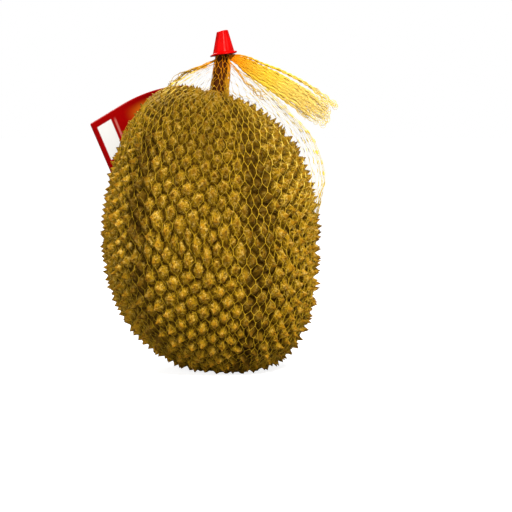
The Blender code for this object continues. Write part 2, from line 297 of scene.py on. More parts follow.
def window(tree, value, rise, fall):
    """1 between the rise and the fall, each given by where it starts and ends, and 0 outside."""
    return times(tree, ranged(tree, value, *rise), ranged(tree, value, *fall))


def ramp(tree, factor, stops):
    node = put(tree, "ShaderNodeValToRGB", {0: factor})
    points = node.color_ramp.elements
    while len(points) < len(stops):
        points.new(0.5)
    for point, (place, colour) in zip(points, stops):
        point.position = place
        point.color = colour
    return node.outputs[0]


def rgb(red, green, blue):
    return (red, green, blue, 1.0)


def attribute(tree, name):
    return put(tree, "ShaderNodeAttribute", attribute_name=name)


def object_place(tree):
    return put(tree, "ShaderNodeTexCoord").outputs["Object"]


def bumped(tree, height, strength, distance):
    node = put(tree, "ShaderNodeBump", {"Height": height, "Strength": strength, "Distance": distance})
    return node.outputs[0]


def group_tree(kind, name, inputs, outputs):
    tree = bpy.data.node_groups.new(name, kind)
    for label, socket_type, value in inputs:
        socket = tree.interface.new_socket(label, in_out="INPUT", socket_type=socket_type)
        if value is not None:
            socket.default_value = value
    for label, socket_type in outputs:
        tree.interface.new_socket(label, in_out="OUTPUT", socket_type=socket_type)
    return tree, put(tree, "NodeGroupInput").outputs, put(tree, "NodeGroupOutput").inputs


def geometry_tree(name, inputs):
    tree, given, result = group_tree(
        "GeometryNodeTree", name,
        [("Geometry", "NodeSocketGeometry", None), *inputs, ("Material", "NodeSocketMaterial", None)],
        [("Geometry", "NodeSocketGeometry")])
    return tree, given, result


def end_tree(tree, geometry, given, result):
    """Every tree ends with real geometry in its material."""
    real = put(tree, "GeometryNodeRealizeInstances", {"Geometry": geometry}).outputs[0]
    dressed = put(tree, "GeometryNodeSetMaterial", {"Geometry": real, "Material": given["Material"]})
    tree.links.new(dressed.outputs[0], result[0])


def grow(obj, tree, **values):
    """Run a geometry tree on the object and keep the result as its plain mesh."""
    ids = {s.name: s.identifier for s in tree.interface.items_tree if s.in_out == "INPUT"}
    modifier = obj.modifiers.new(tree.name, "NODES")
    modifier.node_group = tree
    for label, value in values.items():
        modifier[ids[label.replace("_", " ")]] = value
    bpy.context.view_layer.update()
    graph = bpy.context.evaluated_depsgraph_get()
    mesh = bpy.data.meshes.new_from_object(obj.evaluated_get(graph), preserve_all_data_layers=True,
                                           depsgraph=graph)
    obj.modifiers.remove(modifier)
    obj.data = mesh
    return obj


def use_group(tree, group, **values):
    node = put(tree, "ShaderNodeGroup", node_tree=group)
    for label, value in values.items():
        socket = node.inputs[label.replace("_", " ")]
        if isinstance(value, bpy.types.NodeSocket):
            tree.links.new(value, socket)
        else:
            socket.default_value = value
    return node.outputs


def new_material(name, **values):
    mat = bpy.data.materials.new(name)
    mat.use_nodes = True
    shader = mat.node_tree.nodes["Principled BSDF"]
    for label, value in values.items():
        shader.inputs[label.replace("_", " ")].default_value = value
    return mat, mat.node_tree, shader


def wear(tree, shader, **sockets):
    for label, socket in sockets.items():
        tree.links.new(socket, shader.inputs[label.replace("_", " ")])


def finished(bm, name):
    mesh = bpy.data.meshes.new(name)
    bm.to_mesh(mesh)
    bm.free()
    return mesh


def add_piece(name, mesh, material=None):
    obj = bpy.data.objects.new(name, mesh)
    if material:
        mesh.materials.append(material)
    bpy.context.scene.collection.objects.link(obj)
    return obj


def smooth_step(low, high, value):
    t = min(max((value - low) / (high - low), 0), 1)
    return t * t * (3 - 2 * t)


# ---- shared surface effects ----

def make_mottle():
    """Blotches of two sizes: a mask from 0 to 1 and a fine grain."""
    tree, given, result = group_tree(
        "ShaderNodeTree", "mottle",
        [("Place", "NodeSocketVector", None), ("Blotch scale", "NodeSocketFloat", 60.0),
         ("Grain scale", "NodeSocketFloat", 600.0)],
        [("Blotch", "NodeSocketFloat"), ("Grain", "NodeSocketFloat")])
    blotch = noise(tree, given["Place"], given["Blotch scale"], 3.0, 0.6)
    tree.links.new(ranged(tree, blotch, 0.35, 0.65), result["Blotch"])
    tree.links.new(noise(tree, given["Place"], given["Grain scale"], 3.0, 0.65), result["Grain"])
    return tree


mottle = make_mottle()


# ---- husk ----

def ovoid(direction):
    """The plain ovoid's point in this direction from its centre: two half superellipsoids."""
    d = direction.normalized()
    half, power = (CROWN_HALF, CROWN_POWER) if d.z > 0 else (BASE_HALF, BASE_POWER)
    across = math.hypot(d.x, d.y) / HUSK_RADIUS
    return d * (across ** power + (abs(d.z) / half) ** power) ** (-1 / power)


def husk_body(p):
    """A point of the plain ovoid moved onto the real body: soft lobes, a lean and a sloping crown."""
    lobe = 1 + LOBE_DEPTH * math.cos(LOBES * (math.atan2(p.y, p.x) - LOBE_TURN))
    side = p.x * lobe
    if p.z > 0:
        rise = (p.z / CROWN_HALF) ** 2
        centre = MIDDLE_X + (CROWN_X - MIDDLE_X) * rise
        drop = CROWN_SLOPE * p.x * rise
        if side < 0:
            side *= 1 - SHOULDER_DRAW * rise
    else:
        centre = MIDDLE_X * (1 - (p.z / BASE_HALF) ** 2)
        drop = 0
    return Vector((side + centre, p.y * lobe * HUSK_DEPTH_RATIO, p.z + WIDEST_Z - drop))


def polar_point(polar, turn):
    side = math.sin(polar)
    return ovoid(Vector((side * math.cos(turn), side * math.sin(turn), -math.cos(polar))))


def thorn_size(z):
    """1 at the widest ring and falling to 0 at the poles, for a height on the plain ovoid."""
    half = CROWN_HALF if z > 0 else BASE_HALF
    return math.sqrt(max(1 - (z / half) ** 2, 0))


def full_height(p):
    """Usual thorn height at a point of the plain ovoid: short at the poles, long on the +X side."""
    grown = POLE_THORN + (1 - POLE_THORN) * thorn_size(p.z)
    return THORN_HEIGHT * grown * (1 + THORN_BIAS * p.x / HUSK_RADIUS)


def thorn_sites():
    """Thorn sites on the plain ovoid along a golden-angle spiral, at the local pitch."""
    polar = np.linspace(0, math.pi, SPIRAL_SAMPLES)
    ring = [polar_point(a, 0) for a in polar]
    radius = np.array([p.x for p in ring])
    pitch = np.array([POLE_PITCH + (THORN_PITCH - POLE_PITCH) * thorn_size(p.z) for p in ring])
    step = np.array([(b - a).length for a, b in zip(ring, ring[1:])])
    density = 2 * math.pi * radius / (pitch ** 2 * math.sqrt(3) / 2)
    count = np.concatenate(([0], np.cumsum((density[1:] + density[:-1]) / 2 * step)))
    scatter = np.random.RandomState(SEED)
    sites = []
    for i in range(int(count[-1])):
        near = np.interp(i + 0.5, count, polar)
        row = 2 * math.pi * np.interp(near, polar, radius) / np.interp(near, polar, pitch)
        shift, slide = scatter.uniform(-SITE_JITTER, SITE_JITTER, 2)
        a = np.interp(i + 0.5 + shift * row, count, polar)
        sites.append(polar_point(a, i * GOLDEN_TURN + slide * 2 * math.pi / row))
    return sites


def thorn_height(p, height):
    """Height of a thorn at body point p, where the usual one is given: none where the stalk stands."""
    if p.z > WIDEST_Z:
        bare = STALK_BASE_R + BARE_RING
        height *= smooth_step(bare, bare + SHORT_RING, math.hypot(p.x - STALK_BASE_X, p.y))
    return height


def thorn_cage():
    """The husk's coarse mesh: one flank a face, with each thorn's tip, lift and curl kept for finishing."""
    bm = bmesh.new()
    kept = (("float", "tip"), ("float_vector", "lift"), ("float_vector", "curl"), ("float", "hue"))
    for kind, label in kept:
        getattr(bm.verts.layers, kind).new(label)
    bm.loops.layers.float_vector.new("flank")
    bm.faces.layers.float.new("thorn")
    tip_share, hue_of = bm.verts.layers.float["tip"], bm.verts.layers.float["hue"]
    lift_of, curl_of = bm.verts.layers.float_vector["lift"], bm.verts.layers.float_vector["curl"]
    flank_of, thorn_of = bm.loops.layers.float_vector["flank"], bm.faces.layers.float["thorn"]
    for p in thorn_sites():
        bm.verts.new(p)
    bmesh.ops.convex_hull(bm, input=bm.verts[:])
    tips = bm.verts[:]
    between = bm.edges[:]
    bmesh.ops.poke(bm, faces=bm.faces[:])
    bmesh.ops.rotate_edges(bm, edges=between)
    usual = [full_height(v.co) for v in tips]
    for v in bm.verts:
        v.co = husk_body(ovoid(v.co))
    bm.normal_update()
    scatter = np.random.RandomState(SEED + 1)
    lift = []
    for v, full in zip(tips, usual):
        lean = Vector(scatter.uniform(-THORN_LEAN, THORN_LEAN, 3))
        height = thorn_height(v.co, full) * (1 + scatter.uniform(-THORN_SPREAD, THORN_SPREAD))
        lift.append((v.normal + lean).normalized() * height)
    twist = np.random.RandomState(SEED + 2)
    for v, offset in zip(tips, lift):
        v.co += offset
        v[tip_share] = 1
        v[lift_of] = offset
        sideways = Vector(twist.uniform(-1, 1, 3)).cross(offset.normalized() if offset.length else v.normal)
        v[curl_of] = (sideways + Vector((0, 0, 0.5))) * TIP_CURL * min(offset.length / THORN_HEIGHT, 1)
        v[hue_of] = twist.uniform(0, 1)
    for face in bm.faces:
        apex = next(loop for loop in face.loops if loop.vert[tip_share] > 0.5)
        apex[flank_of] = (1, 0, 0)
        apex.link_loop_next[flank_of] = (0, 1, 0)
        apex.link_loop_prev[flank_of] = (0, 0, 1)
        face[thorn_of] = apex.vert[hue_of]
    bmesh.ops.recalc_face_normals(bm, faces=bm.faces)
    return finished(bm, "husk_skin")


def thorn_finish_tree():
    """Splits each flank and draws it in: hollow flanks, curled tips, a grainy skin, flat underneath."""
    tree, given, result = geometry_tree("thorn_finish", [
        ("Steps", "NodeSocketInt", SKIN_STEPS), ("Hollow", "NodeSocketFloat", FLANK_HOLLOW),
        ("Power", "NodeSocketFloat", FLANK_POWER), ("Grain", "NodeSocketFloat", SKIN_GRAIN)])
    split = put(tree, "GeometryNodeSubdivideMesh", {"Mesh": given["Geometry"], "Level": given["Steps"]})
    tip, lift, curl = (stored(tree, "tip", "FLOAT"), stored(tree, "lift", "FLOAT_VECTOR"),
                       stored(tree, "curl", "FLOAT_VECTOR"))
    drawn = maths(tree, "POWER", tip, minus(tree, given["Power"], 1.0))
    inward = times(tree, minus(tree, drawn, 1.0), given["Hollow"])
    rough = minus(tree, noise(tree, spot_of(tree), 260.0, 2.0), 0.5)
    grain = scaled(tree, normal_of(tree), times(tree, rough, times(tree, given["Grain"], 2.0)))
    offset = vectors(tree, "ADD", scaled(tree, lift, inward), scaled(tree, curl, times(tree, tip, tip)))
    moved = placed(tree, split.outputs[0], Offset=vectors(tree, "ADD", offset, grain))
    x, y, z = split_xyz(tree, spot_of(tree))
    flat = placed(tree, moved.outputs[0], Position=joined_xyz(tree, x, y, maths(tree, "MAXIMUM", z, 0.0)))
    end_tree(tree, flat.outputs[0], given, result)
    return tree


# Flank colours from the thorn's foot to its tip; the dark foot is partly painted shade between the thorns
OLIVE_FLANK = (
    (0.0, rgb(0.02, 0.0102, 0.0003)), (0.15, rgb(0.06, 0.0326, 0.0006)), (0.36, rgb(0.135, 0.0791, 0.0018)),
    (0.62, rgb(0.215, 0.1135, 0.003)), (0.84, rgb(0.25, 0.107, 0.0036)), (1.0, rgb(0.1, 0.0372, 0.0012)))
GOLDEN_FLANK = (
    (0.0, rgb(0.032, 0.0149, 0.0003)), (0.15, rgb(0.09, 0.0465, 0.0006)), (0.36, rgb(0.2, 0.1088, 0.0024)),
    (0.62, rgb(0.31, 0.1674, 0.0072)), (0.84, rgb(0.33, 0.1442, 0.006)), (1.0, rgb(0.15, 0.0512, 0.0018)))


def husk_material():
    """Dry thorny rind: dark between the thorns, partly painted shade; streaked olive-gold flanks, brown
    tips, pale patches that are partly painted highlight, a painted highlight along the ridges, and painted
    shade along the lobe grooves and the crown.
    """
    mat, tree, shader = new_material("husk_thorns", IOR=1.4, Specular_IOR_Level=0.05)
    place = object_place(tree)
    spots = use_group(tree, mottle, Place=place, Blotch_scale=38.0, Grain_scale=420.0)
    tip = attribute(tree, "tip").outputs["Fac"]
    hue = attribute(tree, "thorn").outputs["Fac"]
    _, first_side, second_side = split_xyz(tree, attribute(tree, "flank").outputs["Vector"])
    sides = maths(tree, "MAXIMUM", plus(tree, first_side, second_side), 0.02)
    across = maths(tree, "DIVIDE", first_side, sides)
    lane = joined_xyz(tree, times(tree, across, 7.0), times(tree, hue, 37.0), times(tree, tip, 1.6))
    streak = noise(tree, lane, 1.3, 3.0, 0.65)
    wander = plus(tree, times(tree, minus(tree, spots["Grain"], 0.5), 0.9),
                  times(tree, minus(tree, streak, 0.5), 1.2))
    height = plus(tree, tip, times(tree, wander, ranged(tree, tip, 0.0, 0.2, 0.35, 1.0)))
    olive = ramp(tree, height, OLIVE_FLANK)
    golden = ramp(tree, height, GOLDEN_FLANK)
    ripeness = plus(tree, times(tree, hue, 0.6), times(tree, spots["Blotch"], 0.4))
    body = mixed(tree, ripeness, olive, golden)
    x, y, z = split_xyz(tree, place)
    # The painted highlights on the ridges and pale patches fade toward the bottom, where the fruit is in
    # shade
    bottom_shade_fade = ranged(tree, z, 10 * MM, 100 * MM, 0.3, 1.0)
    edge = maths(tree, "MINIMUM", across, minus(tree, 1.0, across))
    # Painted highlight: a lighter line along each thorn's ridges
    ridge_highlight = times(tree, times(tree, ranged(tree, edge, 0.13, 0.02), bottom_shade_fade), ranged(tree, tip, 0.15, 0.5))
    with_ridge_highlight = mixed(tree, times(tree, ridge_highlight, 0.6), body, rgb(0.44, 0.2604, 0.018))
    fibre = ranged(tree, noise(tree, lane, 3.2, 2.0, 0.6), 0.54, 0.66)
    fibred = mixed(tree, times(tree, fibre, 0.6), with_ridge_highlight, rgb(0.46, 0.2651, 0.0084))
    # Pale patches high on the flanks: partly the rind's own pale tan, partly painted highlight
    pale_noise = noise(tree, place, 340.0, 3.0, 0.75)
    pale = times(tree, times(tree, ranged(tree, pale_noise, 0.52, 0.60), bottom_shade_fade), ranged(tree, tip, 0.1, 0.4))
    with_pale_and_highlight = mixed(tree, times(tree, pale, 0.75), fibred, rgb(0.52, 0.345, 0.070))
    specks = ranged(tree, noise(tree, place, 400.0, 3.0, 0.7), 0.52, 0.60)
    specked = mixed(tree, times(tree, specks, 0.72), with_pale_and_highlight, rgb(0.035, 0.013, 0.0003))
    # Painted shade: the rind is darkened along five grooves between the lobes, standing in for the grooves'
    # shadow
    turn = maths(tree, "ARCTAN2", y, minus(tree, x, NET_AXIS_X * 2))
    wave = maths(tree, "COSINE", times(tree, minus(tree, turn, GROOVE_SHADE_TURN), LOBES))
    groove_shade = times(tree, ranged(tree, wave, 0.45, 1.0), ranged(tree, spots["Blotch"], 0, 1, 0.45, 0.8))
    # Painted shade: the rind is darker toward the crown at the top of the fruit
    crown = ranged(tree, z, 150 * MM, 225 * MM, 0.0, 0.3)
    painted_shade = maths(tree, "MAXIMUM", groove_shade, crown)
    colour = mixed(tree, painted_shade, specked, rgb(0.03, 0.013, 0.0003))
    rough = ranged(tree, spots["Grain"], 0.3, 0.7, 0.62, 0.85)
    relief = plus(tree, noise(tree, place, 900.0, 3.0, 0.6),
                  plus(tree, times(tree, pale_noise, 1.5), times(tree, streak, 1.5)))
    wear(tree, shader, Base_Color=colour, Roughness=rough, Normal=bumped(tree, relief, 0.9, 0.6 * MM))
    return mat


husk = add_piece("husk_skin", thorn_cage())
grow(husk, thorn_finish_tree(), Material=husk_material())
husk.data.shade_smooth()
husk.data.set_sharp_from_angle(angle=RIDGE_ANGLE)
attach(husk, "root")
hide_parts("husk")
skin_points = [v.co.copy() for v in husk.data.vertices]
skin_tree = BVHTree.FromPolygons(skin_points, [p.vertices[:] for p in husk.data.polygons])


# ---- stalk ----

def stalk_share(z):
    return (z - STALK_SEAT_Z) / (STALK_TOP_Z - STALK_SEAT_Z)


def stalk_radius(z):
    t = stalk_share(z)
    knuckle = KNUCKLE * math.exp(-((t - 0.55) / 0.08) ** 2)
    return STALK_TOP_R + (STALK_BASE_R - STALK_TOP_R) * max(1 - t, 0) ** 1.4 + knuckle


def stalk_centre(z):
    return STALK_BASE_X + (STALK_TOP_X - STALK_BASE_X) * stalk_share(z)


def around_stalk(z, radius, turn):
    return Vector((stalk_centre(z) + radius * math.cos(turn), radius * math.sin(turn), z))


def lofted(rings):
    """A closed skin over rings of points, with flat ends."""
    bm = bmesh.new()
    loops = []
    for ring in rings:
        verts = [bm.verts.new(p) for p in ring]
        loops.append([bm.edges.new(pair) for pair in zip(verts, verts[1:] + verts[:1])])
    for low, high in zip(loops, loops[1:]):
        bmesh.ops.bridge_loops(bm, edges=low + high)
    for loop in (loops[0], loops[-1]):
        bmesh.ops.contextual_create(bm, geom=loop)
    bmesh.ops.recalc_face_normals(bm, faces=bm.faces)
    return bm


def bark_tree():
    """Long cords of bark along the stalk."""
    tree, given, result = geometry_tree("bark_relief", [("Depth", "NodeSocketFloat", BARK_DEPTH)])
    stretched = vectors(tree, "MULTIPLY", spot_of(tree), (1.0, 1.0, 0.16))
    cords = minus(tree, noise(tree, stretched, 520.0, 3.0, 0.6), 0.55)
    amount = times(tree, cords, times(tree, given["Depth"], 3.0))
    moved = placed(tree, given["Geometry"], Offset=scaled(tree, normal_of(tree), amount))
    end_tree(tree, moved.outputs[0], given, result)
    return tree


def bark_material():
    mat, tree, shader = new_material("stalk_bark_fibrous", IOR=1.4, Specular_IOR_Level=0.05)
    along_bark = put(tree, "ShaderNodeMapping", {"Vector": object_place(tree),
                                                 "Scale": (1.0, 1.0, 0.18)}).outputs[0]
    spots = use_group(tree, mottle, Place=along_bark, Blotch_scale=170.0, Grain_scale=900.0)
    colour = ramp(tree, spots["Grain"], [
        (0.30, rgb(0.008, 0.001, 0.0002)), (0.50, rgb(0.030, 0.005, 0.0005)),
        (0.72, rgb(0.09, 0.030, 0.003))])
    aged = mixed(tree, times(tree, spots["Blotch"], 0.5), colour, rgb(0.05, 0.014, 0.002))
    rough = ranged(tree, spots["Grain"], 0.3, 0.7, 0.9, 0.65)
    wear(tree, shader, Base_Color=aged, Roughness=rough, Normal=bumped(tree, spots["Grain"], 0.8, 0.5 * MM))
    return mat


def make_stalk():
    turns = [2 * math.pi * k / STALK_SIDES for k in range(STALK_SIDES)]
    heights = np.linspace(STALK_SEAT_Z, STALK_TOP_Z, STALK_RINGS)
    bm = lofted([[around_stalk(z, stalk_radius(z), a) for a in turns] for z in heights])
    stalk = grow(add_piece("stalk_bark", finished(bm, "stalk_bark")), bark_tree(), Material=bark_material())
    stalk.data.shade_smooth()
    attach(stalk, "root")
    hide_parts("stalk")


make_stalk()


# ---- net ----

def yarn_tree():
    """Every edge of the cage becomes a strand of yarn, as thick as its points say."""
    tree, given, result = geometry_tree("yarn", [
        ("Yarn radius", "NodeSocketFloat", YARN_RADIUS), ("Sides", "NodeSocketInt", YARN_SIDES)])
    line = put(tree, "GeometryNodeMeshToCurve", {0: given["Geometry"]}).outputs[0]
    thick = stored(tree, "thick", "FLOAT")
    round_end = put(tree, "GeometryNodeCurvePrimitiveCircle", {"Resolution": given["Sides"],
                                                               "Radius": given["Yarn radius"]})
    tube = put(tree, "GeometryNodeCurveToMesh", {"Curve": line, "Profile Curve": round_end.outputs[0],
                                                 "Scale": thick, "Fill Caps": True})
    end_tree(tree, tube.outputs[0], given, result)
    return tree


yarn = yarn_tree()


def yarn_material(name, stops, pale, dirty_and_shaded):
    """Knitted plastic yarn, whose colour changes with the distance from the cap: each stop is a
    distance in millimetres and a colour. Taut yarn is darkened in patches, partly dirt and partly
    painted shade, and free yarn has a lighter colour that is painted light."""
    mat, tree, shader = new_material(name, IOR=1.45, Specular_IOR_Level=0.06)
    place = object_place(tree)
    spots = use_group(tree, mottle, Place=place, Blotch_scale=75.0, Grain_scale=1500.0)
    gap = put(tree, "ShaderNodeVectorMath", {0: place, 1: CAP_RIM}, operation="DISTANCE").outputs["Value"]
    drawn = ramp(tree, maths(tree, "DIVIDE", gap, YARN_REACH),
                 [(distance * MM / YARN_REACH, colour) for distance, colour in stops])
    streak = times(tree, ranged(tree, spots["Grain"], 0.4, 0.75), 0.45)
    far = ranged(tree, gap, 10 * MM, 50 * MM)
    colour = mixed(tree, times(tree, streak, far), drawn, pale)
    # Painted light: free yarn, away from the thorns, gets a lighter colour
    free = attribute(tree, "free").outputs["Fac"]
    bright = mixed(tree, times(tree, free, far), colour, LIT_FREE_YARN)
    # Dirt and painted shade: taut yarn is darkened in patches and away from the cap, less on the +X side
    taut = times(tree, minus(tree, 1.0, free), times(tree, spots["Blotch"], far))
    east = ranged(tree, split_xyz(tree, place)[0], -15 * MM, 15 * MM, 1.0, 0.45)
    dirt_and_shade = times(tree, plus(tree, times(tree, taut, 0.4), times(tree, minus(tree, far, free), 0.55)), east)
    shade = mixed(tree, dirt_and_shade, bright, dirty_and_shaded)
    wear(tree, shader, Base_Color=shade, Roughness=ranged(tree, spots["Grain"], 0.3, 0.7, 0.38, 0.55),
         Normal=bumped(tree, spots["Grain"], 0.3, 0.2 * MM))
    return mat


# Lighter colour of free yarn: painted light
LIT_FREE_YARN = rgb(0.68, 0.49, 0.07)
# Each yarn's last colour is the darker mix for dirt and painted shade
bag_yarn = yarn_material("net_yarn_bag", (
    (8, rgb(0.50, 0.17, 0.003)), (35, rgb(0.50, 0.24, 0.006)), (70, rgb(0.46, 0.28, 0.010))),
    rgb(0.62, 0.44, 0.06), rgb(0.19, 0.115, 0.004))
sleeve_yarn = yarn_material("net_yarn_sleeve", (
    (8, rgb(0.40, 0.125, 0.001)), (35, rgb(0.38, 0.165, 0.002))),
    rgb(0.50, 0.30, 0.03), rgb(0.19, 0.08, 0.002))
tail_yarn = yarn_material("net_yarn_tail", (
    (6, rgb(0.54, 0.14, 0.0005)), (24, rgb(0.62, 0.29, 0.001)), (45, rgb(0.78, 0.56, 0.022)),
    (100, rgb(0.80, 0.68, 0.27))), rgb(0.84, 0.76, 0.38), rgb(0.60, 0.34, 0.012))


def strands(name, points, pairs, thick, material, radius, free=0.0):
    """A net piece from its points, the pairs that yarn joins, and the yarn's thickness at each point."""
    mesh = bpy.data.meshes.new(name)
    mesh.from_pydata([tuple(p) for p in points], [tuple(pair) for pair in pairs], [])
    layer = mesh.attributes.new("thick", "FLOAT", "POINT")
    layer.data.foreach_set("value", np.asarray(thick, dtype=np.float32))
    loose = mesh.attributes.new("free", "FLOAT", "POINT")
    loose.data.foreach_set("value", np.broadcast_to(free, len(points)).astype(np.float32))
    piece = grow(add_piece(name, mesh), yarn, Material=material, Yarn_radius=radius)
    piece.data.shade_smooth()
    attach(piece, "root")
    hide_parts("net_bag")
    return piece


def wrap_tree():
    """Search tree of the smooth surface just outside the thorn tips."""
    bm = bmesh.new()
    bmesh.ops.create_uvsphere(bm, u_segments=72, v_segments=48, radius=1)
    usual = []
    for v in bm.verts:
        p = ovoid(v.co)
        usual.append(full_height(p))
        v.co = husk_body(p)
    bm.normal_update()
    for v, full in zip(bm.verts, usual):
        v.co += v.normal * (full * (1 + THORN_SPREAD) + NET_CLEARANCE)
    tree = BVHTree.FromBMesh(bm)
    bm.free()
    return tree


def slack(turn, z):
    """How far the loose net stands off the shoulder on the +X side."""
    rise = min(max((z - SLACK_FROM_Z) / (SLACK_TO_Z - SLACK_FROM_Z), 0), 1)
    return SLACK * smooth_step(*SLACK_SIDES, math.cos(turn)) * math.sin(math.pi * rise)


def along(points, count, growth=1.0):
    """The same route with evenly spaced points, or with steps that grow on the way; each point may
    carry more numbers than its place."""
    table = np.array([tuple(p) for p in points])
    steps = np.concatenate(([0], np.cumsum(np.linalg.norm(np.diff(table[:, :3], axis=0), axis=1))))
    wanted = steps[-1] * np.linspace(0, 1, count) ** growth
    return np.stack([np.interp(wanted, steps, column) for column in table.T], axis=1)


def tent_share(turn):
    return smooth_step(*TENT_SIDES, abs(math.cos(turn)))


def net_line(wrap, turn):
    """One wale from under the fruit to the stalk: each row is x, y, z and how free the net is there."""
    neck_dip = math.acos((stalk_radius(STALK_SEAT_Z) + SLEEVE_GAP) / CROWN_HALF)
    out = Vector((math.cos(turn), math.sin(turn), 0))
    up = Vector((0, 0, 1))
    middle = Vector((NET_AXIS_X, 0, WIDEST_Z))
    body, free = [], []
    for dip in np.linspace(FOOT_DIP, neck_dip, BODY_SAMPLES):
        way = Vector((out.x * math.cos(dip), out.y * math.cos(dip), math.sin(dip)))
        p = wrap.ray_cast(middle, way)[0]
        loose = slack(turn, p.z)
        share = min(loose / (0.5 * SLACK), 1)
        sink = NET_SINK * (1 - share) * (1 - CROWN_LIFT * smooth_step(*CROWN_NET, p.z))
        p = p - way * sink + (out + up * SLACK_RISE) * loose
        p.z = max(p.z, FLOOR_LIFT)
        body.append(p)
        free.append(share)
    share = tent_share(turn)
    top = body[-1].z + (PINCH_Z - body[-1].z) * smooth_step(0.0, 1.0, share)
    heights = np.linspace(body[-1].z, top, NECK_SAMPLES)[1:]
    hugging = body + [around_stalk(z, stalk_radius(z) + SLEEVE_GAP, turn) for z in heights]
    pinch = hugging[-1]
    reach = [math.atan2((p - pinch).dot(out), pinch.z - p.z) for p in body]
    shoulder = reach.index(max(reach))
    route = [(*p, f) for p, f in zip(hugging[:shoulder], free)]
    for k, p in enumerate(hugging[shoulder:]):
        t = k / (len(hugging) - shoulder - 1)
        bulge = (out + up) * TENT_BULGE * math.sin(math.pi * t)
        spot = p.lerp(body[shoulder].lerp(pinch, t) + bulge, share)
        own = free[shoulder + k] if shoulder + k < len(free) else 1
        route.append((*spot, max(own, share * smooth_step(0, 0.12, t))))
    return along(route, ROWS + 1, ROW_GROWTH)


def next_wales(wale, row, count):
    """The two wales of the next row that a knot's legs reach."""
    return wale, (wale + (1 if row % 2 else -1)) % count


def join_last(points, pairs):
    """Yarn between the last two points."""
    pairs.append((len(points) - 2, len(points) - 1))


def net_lattice(wrap):
    """Points, pairs and shares of the knitted bag: a knot at each crossing, two legs up from it."""
    lines = [net_line(wrap, math.pi * k / WALES) for k in range(2 * WALES)]
    scatter = np.random.RandomState(SEED + 3)
    drift_noise.seed_set(SEED + 7)      # unseeded, the drift follows the clock
    points, pairs, thick, free, pinned = [], [], [], [], []

    def add(row, swell, fixed):
        points.append(row[:3])
        free.append(row[3])
        crowd = smooth_step(*TENT_CROWD, (Vector(row[:3]) - CAP_RIM).length)
        slim = (1 - LOOSE_YARN if swell == 1 else 1 - LOOSE_KNOT) * row[3]
        thick.append(swell * (1 - slim) * (TENT_YARN + (1 - TENT_YARN) * crowd))
        pinned.append(fixed)
        return len(points) - 1

    def strayed(row):
        """Hand-pulled net: whole patches of it are dragged a little sideways or up."""
        sway = drift_noise.noise_vector(Vector(row[:3]) * STRAY_SCALE)
        return np.array(sway) * STRAY * (1 - 0.5 * row[3])

    knots = {}
    for j in range(ROWS + 1):
        for i in range(WALES):
            line = lines[(2 * i + j % 2) % (2 * WALES)]
            here = line[j].copy()
            ahead = line[min(j + 1, ROWS)] - line[max(j - 1, 0)]
            half = ahead / 2 * KNOT_SHARE * (2 if j in (0, ROWS) else 1) / 2
            if 0 < j < ROWS - 2:
                here[:3] += scatter.uniform(-KNOT_JITTER, KNOT_JITTER, 3) * MM + strayed(here)
            fixed = j in (0, ROWS)
            half *= 1 - FREE_KNOT_CUT * here[3]
            low, high = here.copy(), here.copy()
            low[:3] -= half[:3]
            high[:3] += half[:3]
            thin = scatter.uniform() < FAINT_SHARE * here[3]
            swell = KNOT_SWELL * (FAINT_KNOT if thin else 1)
            a = add(low, swell, fixed)
            b = add(high, swell, fixed)
            pairs.append((a, b))
            knots[i, j] = a, b
    for j in range(ROWS):
        for i in range(WALES):
            for side in next_wales(i, j, WALES):
                start, end = knots[i, j][1], knots[side, j + 1][0]
                from_row = np.array([*points[start], free[start]])
                to_row = np.array([*points[end], free[end]])
                before = start
                for k in range(1, STRAND_STEPS):
                    t = 0.5 + (k / STRAND_STEPS - 0.5) * (1 + CRISP_KNOT * from_row[3])
                    middle = add(from_row + (to_row - from_row) * t, 1, False)
                    pairs.append((before, middle))
                    before = middle
                pairs.append((before, end))
    return np.array(points), np.array(pairs), np.array(thick), np.array(free), np.array(pinned)


def settle(points, pairs, free, pinned, rounds):
    """Draw the yarn taut and keep it outside the skin; free yarn keeps its place."""
    points = np.round(points, SETTLE_DIGITS)
    home = points.copy()
    hold = np.where(pinned, 1.0, HOLD_TAUT + HOLD_FREE * free)[:, None]
    count = np.bincount(pairs.ravel(), minlength=len(points))[:, None]
    touching = np.flatnonzero(free < FREE_ENOUGH)
    for step in range(rounds):
        pull = np.zeros_like(points)
        along_yarn = points[pairs[:, 1]] - points[pairs[:, 0]]
        np.add.at(pull, pairs[:, 0], along_yarn)
        np.add.at(pull, pairs[:, 1], -along_yarn)
        points += TENSION * pull / count
        points += hold * (home - points)
        if step % 2 == 1 or step == rounds - 1:
            for k in touching:
                p = Vector(points[k])
                spot, normal, _, _ = skin_tree.find_nearest(p)
                gap = p - spot
                if gap.dot(normal) < SKIN_LIFT and gap.length < TOUCH_REACH * (1 - free[k]):
                    points[k] = spot + normal * SKIN_LIFT
        points[:, 2] = np.maximum(points[:, 2], FLOOR_LIFT)
        points = np.round(points, SETTLE_DIGITS)
    return points


def make_bag():
    wrap = wrap_tree()
    points, pairs, thick, free, pinned = net_lattice(wrap)
    settled = settle(points, pairs, free, pinned, SETTLE_ROUNDS)
    return strands("net_bag_mesh", settled, pairs, thick, bag_yarn, YARN_RADIUS, free)


